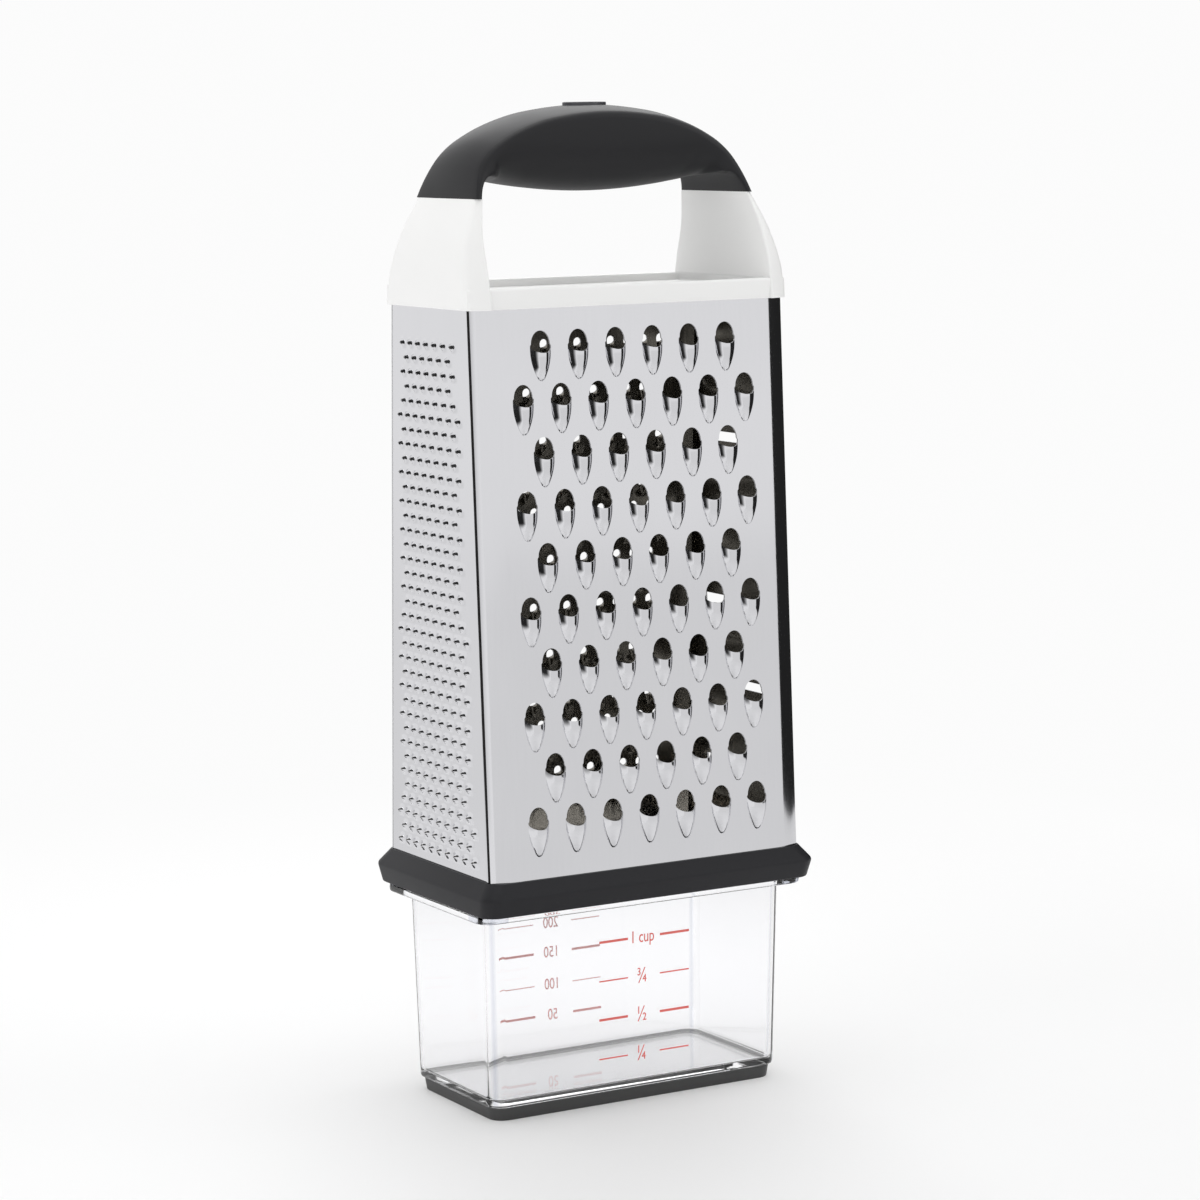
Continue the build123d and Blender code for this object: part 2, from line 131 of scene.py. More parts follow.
def roundedRing(halfX, halfY, corner, z, steps=6):
    # a rounded rectangle: four quarter circles of the corner radius, joined by straight sides
    turn = np.linspace(0, math.pi / 2, steps + 1)
    x = halfX - corner + corner * np.cos(turn)
    y = halfY - corner + corner * np.sin(turn)
    ring = np.concatenate([np.stack([x, y], 1), np.stack([-x, y], 1)[::-1],
                           np.stack([-x, -y], 1), np.stack([x, -y], 1)[::-1]])
    return np.column_stack([ring, np.full(len(ring), z)])


def roundedRings(rows, steps=6):
    return np.array([roundedRing(*row, steps=steps) for row in rows])


# materials


def addNode(tree, kind, **values):
    node = tree.nodes.new(kind)
    node.location = (200 * len(tree.nodes), 0)
    for key, value in values.items():
        setattr(node, key, value)
    return node


def feed(tree, node, values):
    # each named or numbered input takes a link from a socket, or a plain value
    for key, value in values.items():
        if isinstance(value, bpy.types.NodeSocket):
            tree.links.new(value, node.inputs[key])
        else:
            node.inputs[key].default_value = value
    return node


def computed(tree, operation, *values):
    node = addNode(tree, "ShaderNodeMath", operation=operation)
    return feed(tree, node, dict(enumerate(values))).outputs[0]


def noise(tree, vector, scale, detail):
    node = addNode(tree, "ShaderNodeTexNoise")
    return feed(tree, node, {"Vector": vector, "Scale": scale, "Detail": detail}).outputs["Fac"]


def smoothFade(tree, value, start, end, first=0, last=1):
    # goes smoothly from first to last while the value goes from start to end
    node = addNode(tree, "ShaderNodeMapRange", interpolation_type="SMOOTHSTEP")
    feed(tree, node, {"Value": value, "From Min": start, "From Max": end, "To Min": first,
                      "To Max": last})
    return node.outputs["Result"]


def tinted(tree, colour, level):
    node = addNode(tree, "ShaderNodeVectorMath", operation="MULTIPLY")
    return feed(tree, node, {0: colour, 1: level}).outputs[0]


def objectPlace(tree):
    return addNode(tree, "ShaderNodeTexCoord").outputs["Object"]


def groupTree(name, inputs, outputs):
    tree = bpy.data.node_groups.new(name, "ShaderNodeTree")
    for label, kind, value in inputs:
        socket = tree.interface.new_socket(label, in_out="INPUT", socket_type=kind)
        socket.default_value = value
    for label, kind in outputs:
        tree.interface.new_socket(label, in_out="OUTPUT", socket_type=kind)
    return tree, addNode(tree, "NodeGroupInput"), addNode(tree, "NodeGroupOutput")


patternOutputs = [("Colour", "NodeSocketColor"), ("Roughness", "NodeSocketFloat"),
                  ("Height", "NodeSocketFloat")]
brushed = {"streakScale": (1500, 1500, 22), "streakDetail": 3, "cloudScale": 28, "cloudDetail": 2,
           "cloudGain": 0.06, "roughGain": 1.2}
moulding = {"grainDetail": 2, "driftScale": 35, "driftDetail": 3}
# the tub's upright corners, which take a blue-grey painted shade: the edge places and where the shade
# fades in
corners = {"edges": [("X", 0.0459, 0.0198), ("Y", 0.0206, 0.0247)], "start": 0.0000105,
           "end": 0.0000122}


def brushedGroup(c):
    # long thin streaks up the sheet, with broad faint clouds over them: the colour is multiplied
    # by 1 + streak + cloud, and the streak is added to the roughness
    tree, given, out = groupTree("brushedLines", [
        ("Colour", "NodeSocketColor", (0.7, 0.7, 0.7, 1)), ("Roughness", "NodeSocketFloat", 0.3),
        ("Streak", "NodeSocketFloat", 0.04), ("Depth", "NodeSocketFloat", 0.2)], patternOutputs)
    place, source = objectPlace(tree), given.outputs
    stretch = addNode(tree, "ShaderNodeMapping")
    feed(tree, stretch, {"Vector": place, "Scale": c["streakScale"]})
    streaks = noise(tree, stretch.outputs["Vector"], 1, c["streakDetail"])
    centred = computed(tree, "SUBTRACT", streaks, 0.5)
    amount = computed(tree, "MULTIPLY", centred, source["Streak"])
    cloud = computed(tree, "SUBTRACT", noise(tree, place, c["cloudScale"], c["cloudDetail"]), 0.5)
    gain = computed(tree, "MULTIPLY_ADD", cloud, c["cloudGain"], amount)
    feed(tree, out, {
        "Colour": tinted(tree, source["Colour"], computed(tree, "ADD", gain, 1)),
        "Roughness": computed(tree, "MULTIPLY_ADD", amount, c["roughGain"], source["Roughness"]),
        "Height": computed(tree, "MULTIPLY", centred, source["Depth"])})
    return tree


def grainGroup(c):
    # a fine moulded grain for the surface, with slow drifts of colour and of roughness
    tree, given, out = groupTree("mouldedGrain", [
        ("Colour", "NodeSocketColor", (0.5, 0.5, 0.5, 1)), ("Roughness", "NodeSocketFloat", 0.4),
        ("Grain", "NodeSocketFloat", 2500.0), ("Drift", "NodeSocketFloat", 0.06),
        ("Depth", "NodeSocketFloat", 0.2)], patternOutputs)
    place, source = objectPlace(tree), given.outputs
    drift = computed(tree, "SUBTRACT", noise(tree, place, c["driftScale"], c["driftDetail"]), 0.5)
    amount = computed(tree, "MULTIPLY", drift, source["Drift"])
    grain = noise(tree, place, source["Grain"], c["grainDetail"])
    feed(tree, out, {
        "Colour": tinted(tree, source["Colour"], computed(tree, "ADD", amount, 1)),
        "Roughness": computed(tree, "ADD", amount, source["Roughness"]),
        "Height": computed(tree, "MULTIPLY", grain, source["Depth"])})
    return tree


def cornerShadeGroup(c):
    # mask of the upright corners that take painted shade: (|x| - edge) * (|y| - edge) goes from
    # start to end, where an edge lies at its place on the floor + drift * z
    tree, _, out = groupTree("cornerShadeMask", [], [("Mask", "NodeSocketFloat")])
    apart = feed(tree, addNode(tree, "ShaderNodeSeparateXYZ"), {0: objectPlace(tree)}).outputs
    past = []
    for axis, place, drift in c["edges"]:
        size = computed(tree, "ABSOLUTE", apart[axis])
        edge = computed(tree, "MULTIPLY_ADD", apart["Z"], drift, place)
        past.append(computed(tree, "MAXIMUM", computed(tree, "SUBTRACT", size, edge), 0))
    both = computed(tree, "MULTIPLY", *past)
    feed(tree, out, {"Mask": smoothFade(tree, both, c["start"], c["end"])})
    return tree


brushedLines = brushedGroup(brushed)
mouldedGrain = grainGroup(moulding)
cornerShadeMask = cornerShadeGroup(corners)
bumpDistance = 0.00005


def linear(hexColour):
    # the linear value of a written sRGB colour
    parts = np.array([int(hexColour[k:k + 2], 16) for k in (1, 3, 5)]) / 255
    values = np.where(parts <= 0.04045, parts / 12.92, ((parts + 0.055) / 1.055) ** 2.4)
    return (*values.tolist(), 1.0)


def surfaceMaterial(name, group, settings):
    # a Principled shader fed by one of the shared groups; plain values sit on the shader
    material = bpy.data.materials.new(name)
    material.use_nodes = True
    tree = material.node_tree
    pattern = addNode(tree, "ShaderNodeGroup", node_tree=group)
    feed(tree, pattern, {"Colour": linear(settings["colour"]), "Depth": 1.0, **settings["pattern"]})
    bump = feed(tree, addNode(tree, "ShaderNodeBump"), {
        "Strength": settings["bump"], "Distance": bumpDistance,
        "Height": pattern.outputs["Height"]})
    feed(tree, tree.nodes["Principled BSDF"], {
        "Base Color": pattern.outputs["Colour"], "Roughness": pattern.outputs["Roughness"],
        "Normal": bump.outputs["Normal"], **settings.get("shader", {})})
    return material


def steelMaterial(name, colour, roughness, streak, bump, metallic):
    return surfaceMaterial(name, brushedLines, {
        "colour": colour, "pattern": {"Roughness": roughness, "Streak": streak}, "bump": bump,
        "shader": {"Metallic": metallic}})


def mouldedMaterial(name, colour, roughness, grain, drift, bump, shader):
    return surfaceMaterial(name, mouldedGrain, {
        "colour": colour, "pattern": {"Roughness": roughness, "Grain": grain, "Drift": drift},
        "bump": bump, "shader": shader})


def clearMaterial(name, settings):
    # clear plastic: full transmission on the shader, and a blue-grey painted shade along the upright
    # corners
    material = surfaceMaterial(name, mouldedGrain, settings)
    tree = material.node_tree
    shader = tree.nodes["Principled BSDF"]
    shader.inputs["Transmission Weight"].default_value = 1.0
    mask = addNode(tree, "ShaderNodeGroup", node_tree=cornerShadeMask)
    mix = addNode(tree, "ShaderNodeMix", data_type="RGBA")
    plain, paintedCornerShade = [socket for socket in mix.inputs if socket.type == "RGBA"]
    mixed = [socket for socket in mix.outputs if socket.type == "RGBA"][0]
    paintedCornerShade.default_value = linear(settings["cornerShadeColour"])
    tree.links.new(shader.inputs["Base Color"].links[0].from_socket, plain)
    tree.links.new(mask.outputs["Mask"], mix.inputs["Factor"])
    tree.links.new(mixed, shader.inputs["Base Color"])
    return material


# name, colour, roughness, streak, bump, metallic
steelFinish = steelMaterial("brushedSteel", "#D9D9DC", 0.08, 0.03, 0.05, 1.0)
# the sheets' inner faces take a darker, browner copy of the steel: painted shade for the closed
# interior
insidePaintedShade = steelMaterial("steelInsidePaintedShade", "#88847C", 0.25, 0.1, 0.1, 1.0)
cutFinish = steelMaterial("cutEdge", "#C4C4C6", 0.45, 0.05, 0.05, 0.0)
# name, colour, roughness, grain, drift, bump, shader values
# near-black painted shade for the stepped-in hem, standing in for the shadow in the seam gap
seamPaintedShade = mouldedMaterial("seamShade", "#1C1B1B", 0.6, 2600, 0.1, 0.05,
                             {"Specular IOR Level": 0.2})
whiteFinish = mouldedMaterial("whitePlastic", "#F7F7F6", 0.32, 1800, 0.03, 0.05, {"IOR": 1.46})
gripFinish = mouldedMaterial("softGrip", "#18181B", 0.5, 3200, 0.12, 0.12,
                             {"Specular IOR Level": 0.3})
badgeFinish = mouldedMaterial("ovalBadge", "#4A4A4F", 0.3, 2500, 0.05, 0.05, {})
collarFinish = mouldedMaterial("darkCollar", "#242427", 0.45, 2600, 0.12, 0.08,
                               {"Specular IOR Level": 0.2})
footFinish = mouldedMaterial("darkFoot", "#424242", 0.45, 2600, 0.12, 0.12,
                             {"Specular IOR Level": 0.3})
printFinish = mouldedMaterial("redPrint", "#EA6C64", 0.5, 2600, 0.1, 0.03, {})
farPrintFinish = mouldedMaterial("redPrintBehind", "#F59A94", 0.5, 2600, 0.1, 0.03, {})
# the corner colour is a blue-grey painted shade along the tub's upright corners
clearFinish = clearMaterial("clearPlastic", {
    "colour": "#FEFEFF", "cornerShadeColour": "#D2D6E2",
    "pattern": {"Roughness": 0.03, "Grain": 900.0, "Drift": 0.01, "Depth": 0.2},
    "bump": 0.02, "shader": {"IOR": 1.49}})
sheetFinishes = [steelFinish, insidePaintedShade, seamPaintedShade, cutFinish]

print("materials ready")

# steel sheets

steel = {"bottom": 67.1, "top": 247.8, "faceFoot": 75.2, "halfWidth": 54.0, "flatHalf": 46.0,
         "halfDepth": 34.4, "slope": 7.1 / 169, "rollTurn": math.radians(35), "thickness": 0.6,
         "seam": 0.9}
steel["lean"] = math.atan(steel["slope"])
steel["rollRadius"] = (steel["halfWidth"] - steel["flatHalf"]) / math.sin(steel["rollTurn"])
steel["rollDrop"] = steel["rollRadius"] * (1 - math.cos(steel["rollTurn"]))
steel["rollEnd"] = steel["flatHalf"] + steel["rollRadius"] * steel["rollTurn"]


def halfDepthAt(z):
    return steel["halfDepth"] - (z - steel["faceFoot"]) * steel["slope"]


def bodyRing(grow, z, steps=6):
    # the body from above: flat sides, and front and back rolled away over the last millimetres
    turn = np.linspace(steel["rollTurn"], 0, steps + 1)
    side = steel["halfWidth"] + grow - steel["flatHalf"]
    x = steel["flatHalf"] + side * np.sin(turn) / math.sin(steel["rollTurn"])
    y = halfDepthAt(z) + grow - steel["rollRadius"] * (1 - np.cos(turn))
    ring = np.concatenate([np.stack([x, y], 1), np.stack([-x, y], 1)[::-1],
                           np.stack([-x, -y], 1), np.stack([x, -y], 1)[::-1]])
    return np.column_stack([ring, np.full(len(ring), z)])


def rolledPlace(side):
    # front (side -1) or back (side 1): u runs round the rolled edges, v up the leaning face, w outward
    def place(u, v, w):
        turn = np.clip(np.abs(u) - steel["flatHalf"], 0, None) / steel["rollRadius"]
        x = np.sign(u) * (np.minimum(np.abs(u), steel["flatHalf"])
                          + (steel["rollRadius"] + w) * np.sin(turn))
        out = (steel["rollRadius"] + w) * np.cos(turn) - steel["rollRadius"]
        lean = steel["lean"]
        y = steel["halfDepth"] - v * math.sin(lean) + out * math.cos(lean)
        z = steel["faceFoot"] + v * math.cos(lean) + out * math.sin(lean)
        return np.stack([-side * x, side * y, z], axis=-1)
    return place


def flatPlace(side):
    # left (side -1) or right (side 1): an upright plane, u across, v up, w outward
    def place(u, v, w):
        return np.stack([side * (steel["halfWidth"] + w), side * u, steel["faceFoot"] + v], axis=-1)
    return place


def steelSheet(name, cell, layout, place, edgeAt, edgeColumns):
    # One grid of lines up the sheet and columns across it. Each row of teeth takes the cell's
    # table of u, v and w; a short row is moved by half a tooth. Beyond the last tooth of a row
    # the columns spread evenly to the sheet's edge.
    cellU, cellV, cellW, cellHole = cell
    lines, across = cellHole.shape
    pitch, rowPitch, longest = layout["pitch"], layout["rowPitch"], max(layout["counts"])
    field = np.linspace(-longest * pitch / 2, longest * pitch / 2, longest * across + 1)
    columns = np.concatenate([-edgeColumns[::-1], field, edgeColumns])
    offset = len(edgeColumns)
    slant = layout["slant"]
    low, high = [(steel[key] - steel["faceFoot"]) / slant for key in ("bottom", "top")]
    firstLine = layout["first"] + cellV[0, 0]
    lastLine = firstLine + len(layout["counts"]) * rowPitch
    below = np.linspace(low, firstLine, layout["linesBelow"] + 1)[:-1]
    above = np.linspace(lastLine, high, layout["linesAbove"] + 1)
    total = len(below) + lines * len(layout["counts"]) + len(above)
    v = np.zeros((total, len(columns)))
    v[:len(below)] = below[:, None]
    v[-len(above):] = above[:, None]
    w = np.zeros_like(v)
    reach = np.zeros(total)
    reach[:len(below)] = layout["counts"][0] * pitch / 2
    reach[-len(above):] = layout["counts"][-1] * pitch / 2
    hole = np.zeros((total - 1, len(columns) - 1), dtype=bool)
    teeth = []
    for row, count in enumerate(layout["counts"]):
        start = len(below) + row * lines
        shift = offset + (longest - count) * across // 2
        step = np.arange(count * across + 1)
        j = step % across
        part = slice(start, start + lines)
        mouth = layout["first"] + row * rowPitch
        v[part] = mouth + cellV[:-1, :1]
        v[part, shift:shift + len(step)] = mouth + cellV[:-1][:, j]
        w[part, shift:shift + len(step)] = cellW[:-1][:, j]
        hole[part, shift:shift + len(step) - 1] = cellHole[:, j[:-1]]
        reach[part] = count * pitch / 2
        centre = (step // across + 0.5 - count / 2) * pitch
        teeth.append((part, slice(shift, shift + len(step)), centre + cellU[:-1][:, j]))
    edge = edgeAt(v[:, :1])
    outermost = columns[-1]
    reach = reach[:, None]
    size = np.abs(columns)[None, :]
    spread = reach + (size - reach) * (edge - reach) / (outermost - reach)
    u = np.sign(columns) * np.where(size <= reach + 1e-6, size, spread)
    for part, across, values in teeth:
        u[part, across] = values
    paintedHemShade = np.zeros(hole.shape, dtype=bool)
    if "hem" in layout:
        # the field moves by shift * (1 - (u / edge)^2), and the back edge reaches closer to its
        # neighbour; the front edge steps inward and runs on under the rolled edge beside it
        hem, front = layout["hem"], layout["front"]
        share = u / edge
        back = np.clip(-front * share, 0, None)
        u = u + layout["shift"] * (1 - share ** 2) - front * hem["backReach"] * back ** 2
        step, reached = front * (edge + hem["slope"]), front * (edge + hem["slope"] + hem["width"])
        ends = (0, 2) if front > 0 else (2, 0)
        inward = slice(-2, None) if front > 0 else slice(0, 2)
        u = np.hstack([u, step, reached] if front > 0 else [reached, step, u])
        v, w = np.pad(v, ((0, 0), ends), mode="edge"), np.pad(w, ((0, 0), ends))
        hole, paintedHemShade = np.pad(hole, ((0, 0), ends)), np.pad(paintedHemShade, ((0, 0), ends))
        w[:, inward] = -hem["depth"]
        # the stepped-in hem quads are marked for the near-black painted shade of the seam gap
        paintedHemShade[:, inward] = True
    quads, paintedHemShade = gridQuads(*u.shape)[~hole], paintedHemShade[~hole]
    thin = steel["thickness"] * (1 - layout["thinning"] * w / max(w.max(), 0.1))
    outer = place(u, v, w).reshape(-1, 3)
    inner = place(u, v, w - thin).reshape(-1, 3)
    return shellOf(name, outer, inner, quads, paintedHemShade, {"sharpAngle": layout["sharpAngle"]})


def shellOf(name, outer, inner, quads, paintedHemShade, settings):
    # the outer quads, the same quads turned round inside, and a strip along every open edge;
    # the inside takes the second material, the painted-shade outer quads of the hem the third, the cut
    # edges the last
    edges = np.concatenate([quads[:, [0, 1]], quads[:, [1, 2]], quads[:, [2, 3]], quads[:, [3, 0]]])
    keys = np.sort(edges, axis=1)
    unique, place, counts = np.unique(keys, axis=0, return_index=True, return_counts=True)
    rim = edges[place[counts == 1]]
    count = len(outer)
    strip = np.stack([rim[:, 1], rim[:, 0], rim[:, 0] + count, rim[:, 1] + count], axis=1)
    faces = [np.concatenate([quads, quads[:, ::-1] + count, strip])]
    finishes = np.concatenate([2 * paintedHemShade, np.ones(len(quads)), np.full(len(strip), 3)])
    return makePiece(name, np.concatenate([outer, inner]), faces, {**settings, "finishes": finishes})


coarse = {"pitch": 12.8, "rowPitch": 15.677, "first": 17.1, "counts": [7, 6] * 5, "rise": 2.4,
          "outward": [0, 0.16, 0.52, 1.0], "sag": 2.1, "archHalf": 3.2, "archFoot": 0.5,
          "archRise": 4.0, "linesBelow": 3,
          "linesAbove": 4, "thinning": 0.15, "slant": math.cos(steel["lean"]), "sharpAngle": 45,
          "levels": [-10.8, -10.4, -10.1, -9.5, -8.6, -7.3, -5.9, -4.4, -2.9, -1.4, -0.4, 0.0],
          "halves": [4.0, 0.4, 0.9, 1.35, 1.8, 2.35, 2.83, 3.22, 3.46, 3.55, 3.55, 3.55],
          "ridge": [0, 0, 0.16, 0.32, 0.47, 0.64, 0.78, 0.89, 0.96, 0.99, 1.0, 1.0]}


def coarseCell(c):
    # lines go up the cell, 18 columns across it; twelve of them follow the tooth, whose height is
    # rise * ridge * cos(turn)^2 at the place half * sin(turn); its lines sag by sag * cos(turn)
    # at the lip and by nothing at the tip; the opening above the lip ends in a half oval
    j = np.arange(-9, 10)
    turn = np.clip(j / 6, -1, 1) * math.pi / 2
    outward = np.array(c["outward"])[np.clip(np.abs(j) - 6, 0, 3)]
    half = np.array(c["halves"])[:, None]
    levels = np.array(c["levels"])[:, None]
    tip = levels[1]
    u = half * np.sin(turn) + np.sign(j) * (c["pitch"] / 2 - half) * outward
    v = tip + (levels - tip) * (1 + c["sag"] * np.cos(turn) / tip)
    w = c["rise"] * np.array(c["ridge"])[:, None] * np.cos(turn) ** 2
    u[0] = j * c["pitch"] / 18
    v[0] = levels[0]
    arch = c["archHalf"] * np.sin(turn) + np.sign(j) * (c["pitch"] / 2 - c["archHalf"]) * outward
    archV = c["archFoot"] + c["archRise"] * np.cos(turn)
    border = np.full(len(j), c["rowPitch"] + c["levels"][0])
    u = np.vstack([u, arch, u[0]])
    v = np.vstack([v, archV, border])
    w = np.vstack([w, np.zeros((2, len(j)))])
    hole = np.zeros((len(u) - 1, 18), dtype=bool)
    hole[11, 3:15] = True
    return u, v, w, hole


rollColumns = np.append(steel["flatHalf"], np.linspace(steel["flatHalf"], steel["rollEnd"], 8)[1:])
coarseSheet = steelSheet("coarseSheet", coarseCell(coarse), coarse, rolledPlace(-1),
                         lambda v: np.full_like(v, steel["rollEnd"]), rollColumns)
finishPiece(coarseSheet, sheetFinishes, "grater", ["coarse_panel"])

medium = {"pitch": 6.05, "rowPitch": 7.58, "first": 9.8, "counts": [14, 15] * 10, "rise": 1.1,
          "holeHalf": 1.35, "holeMiddle": 0.8, "holeUp": 1.35, "holeDown": 1.1, "holeEnd": 0.15,
          "between": 0.4, "power": 1.7, "linesBelow": 3, "linesAbove": 4, "thinning": 0.3,
          "slant": math.cos(steel["lean"]), "sharpAngle": 62,
          "levels": [-4.2, -3.3, -2.4, -1.3], "halves": [2.27, 0.4, 0.75, 1.1],
          "ridge": [0, 0.1, 0.42, 0.75]}


def mediumCell(c):
    # eight columns, six over the scale; the opening is a round hole between a lower arc,
    # which is the raised lip of the scale, and an upper arc in the sheet; the scale's height is
    # rise * ridge * cos(turn)^power
    j = np.arange(-4, 5)
    turn = np.clip(j / 3, -1, 1) * math.pi / 2
    outward = np.clip(np.abs(j) - 3, 0, 1)
    half = np.array(c["halves"])[:, None]
    u = half * np.sin(turn) + np.sign(j) * (c["pitch"] / 2 - half) * outward
    v = np.repeat(np.array(c["levels"])[:, None], len(j), axis=1)
    w = c["rise"] * np.array(c["ridge"])[:, None] * np.cos(turn) ** c["power"]
    u[0] = j * c["pitch"] / 8
    arc = c["holeHalf"] * np.sin(turn) + np.sign(j) * (c["pitch"] / 2 - c["holeHalf"]) * outward
    lip = c["holeMiddle"] - c["holeEnd"] - c["holeDown"] * np.cos(turn)
    arch = c["holeMiddle"] + c["holeEnd"] + c["holeUp"] * np.cos(turn)
    border = np.full(len(j), c["rowPitch"] + c["levels"][0])
    u = np.vstack([u, arc, arc, arc + (u[0] - arc) * c["between"], u[0]])
    v = np.vstack([v, lip, arch, arch + (border - arch) * c["between"], border])
    w = np.vstack([w, c["rise"] * np.cos(turn) ** c["power"], np.zeros((3, len(j)))])
    hole = np.zeros((len(u) - 1, 8), dtype=bool)
    hole[4, 1:7] = True
    return u, v, w, hole


mediumSheet = steelSheet("mediumSheet", mediumCell(medium), medium, rolledPlace(1),
                         lambda v: np.full_like(v, steel["rollEnd"]), rollColumns)
finishPiece(mediumSheet, sheetFinishes, "grater", ["medium_panel"])


def sideEdge(v):
    # half the width of a side sheet: the body's half depth less the roll, the sheet and the seam
    return (halfDepthAt(steel["faceFoot"] + v) - steel["rollDrop"] - steel["thickness"]
            - steel["seam"])


fine = {"pitch": 5.2, "rowPitch": 4.38, "first": 4.6, "rows": 36, "margin": 7.8, "rise": 1.2,
        "radii": [0, 0.62, 1.15, 1.75], "heights": [0, 0.8, 0.3, 0.0], "petal": 0.3, "tear": 0.35,
        "shift": -2.3, "front": 1,
        "hem": {"depth": 1.0, "slope": 0.5, "width": 1.3, "backReach": 0.65},
        "linesBelow": 4, "linesAbove": 5, "thinning": 0.5, "slant": 1.0, "sharpAngle": 75}
fineRows = fine["first"] + np.arange(fine["rows"]) * fine["rowPitch"]
fineReach = (halfDepthAt(steel["faceFoot"] + fineRows) - steel["rollDrop"]
             - fine["margin"]) / fine["pitch"]
fine["counts"] = [2 * int(share + 0.5) if row % 2 == 0 else 2 * int(share) + 1
                  for row, share in enumerate(fineReach)]


def fineCell(c):
    # square rings of the grid become circles round a small torn hole: ring n lies at radius n,
    # raised by its height; the hole's rim is radius * (1 - tear * cos(4 turn)) and stands up in
    # four petals, height + petal * cos(4 turn)
    j, k = np.meshgrid(np.arange(-4, 5), np.arange(-4, 5))
    ring = np.maximum(np.abs(j), np.abs(k))
    turn = np.arctan2(k, j)
    radius = np.append(c["radii"], 0)[ring]
    radius = radius * (1 - c["tear"] * np.cos(4 * turn) * (ring == 1))
    inside = ring < 4
    u = np.where(inside, radius * np.cos(turn), j * c["pitch"] / 8)
    v = np.where(inside, radius * np.sin(turn), k * c["rowPitch"] / 8)
    w = c["rise"] * np.append(c["heights"], 0)[ring]
    w = w + c["rise"] * c["petal"] * np.cos(4 * turn) * (ring == 1)
    hole = np.zeros((8, 8), dtype=bool)
    hole[3:5, 3:5] = True
    return u, v, w, hole


sideColumns = np.linspace(max(fine["counts"]) * fine["pitch"] / 2, sideEdge(0), 5)[1:]
fineSheet = steelSheet("fineSheet", fineCell(fine), fine, flatPlace(-1), sideEdge, sideColumns)
finishPiece(fineSheet, sheetFinishes, "grater", ["fine_panel"])

slots = {"hem": fine["hem"], "front": -1, "shift": 0, "pitch": 41.0, "rowPitch": 26.0,
         "first": 18.0, "counts": [1] * 6, "rise": 2.2, "power": 8, "half": 19.0,
         "linesBelow": 2, "linesAbove": 4, "thinning": 0.15, "slant": 1.0,
         "sharpAngle": 62,
         "levels": [-13, -9.7, -9.1, -8.4, -6.6, -4.6, -2.6, -0.9, 0, 3.4, 4.0, 8.5, 13],
         "ridge": [0, 0, 0.04, 0.12, 0.32, 0.54, 0.76, 0.93, 1.0, 0, 0, 0, 0]}


def slotCell(c):
    # a long blade across the cell: height rise * ridge * (1 - |sin(turn)|^power), open above its lip
    j = np.arange(-12, 13)
    turn = np.clip(j / 11, -1, 1) * math.pi / 2
    u = np.where(np.abs(j) < 12, c["half"] * np.sin(turn), np.sign(j) * c["pitch"] / 2)
    u = np.repeat(u[None, :], len(c["levels"]), axis=0)
    u[0] = u[-1] = j * c["pitch"] / 24
    v = np.repeat(np.array(c["levels"], dtype=float)[:, None], len(j), axis=1)
    w = c["rise"] * np.array(c["ridge"])[:, None] * (1 - np.abs(np.sin(turn)) ** c["power"])
    hole = np.zeros((len(c["levels"]) - 1, 24), dtype=bool)
    hole[8, 2:22] = True
    return u, v, w, hole


slotColumns = np.linspace(slots["pitch"] / 2, sideEdge(0), 5)[1:]
slicingSheet = steelSheet("slicingSheet", slotCell(slots), slots, flatPlace(1), sideEdge, slotColumns)
finishPiece(slicingSheet, sheetFinishes, "grater", ["slicing_panel"])
print("steel sheets made")

# white cap and legs

cap = {"bottom": 244.2, "top": 250.4, "tray": 248.0, "grow": 1.0, "rail": 2.4, "skirtBottom": 239.6,
       "skirtOut": -0.7, "skirtIn": -2.3, "channelTop": 247.9, "channelOut": 0.1, "under": 246.4,
       "inset": 0.8, "edges": [0.01, 0.3, 0.3, 0.05, 0.05, 0.1, 0.25, 0.9, 0.9, 0.01]}


def capShape(c):
    # body outlines at (grow, height, share of full size) steps, from under the tray, round the
    # skirt, the steel's channel and the rail, into the tray
    inside = c["grow"] - c["rail"]
    steps = [(c["skirtIn"], c["under"], c["inset"]), (c["skirtIn"], c["under"], 1),
             (c["skirtIn"], c["skirtBottom"], 1),
             (c["skirtOut"], c["skirtBottom"], 1), (c["skirtOut"], c["channelTop"], 1),
             (c["channelOut"], c["channelTop"], 1), (c["channelOut"], c["bottom"], 1),
             (c["grow"], c["bottom"], 1), (c["grow"], c["top"], 1), (inside, c["top"], 1),
             (inside, c["tray"], 1), (inside, c["tray"], c["inset"])]
    steps = softened(steps, c["edges"], steps=4)
    return ringLoft(np.array([bodyRing(grow, z, steps=8) * [share, share, 1]
                              for grow, z, share in steps]))


leg = {"baseZ": 244.2, "topZ": 276.3, "baseOut": 55.4, "topOut": 48.5, "baseThick": 7.1,
       "topThick": 2.8, "baseCrease": 26.5, "topCrease": 18.4, "baseDepth": 29.3, "topDepth": 19.5,
       "crown": 0.72, "edges": [2.6] + [0.4] * 7 + [2.6, 1.0, 1.0],
       "shares": [(0, 0, 0, 0, 0), (0.17, 0.02, 0.09, 0.06, 0.09), (0.37, 0.08, 0.25, 0.17, 0.23),
                  (0.68, 0.4, 0.58, 0.55, 0.6), (1, 1, 1, 1, 1)]}


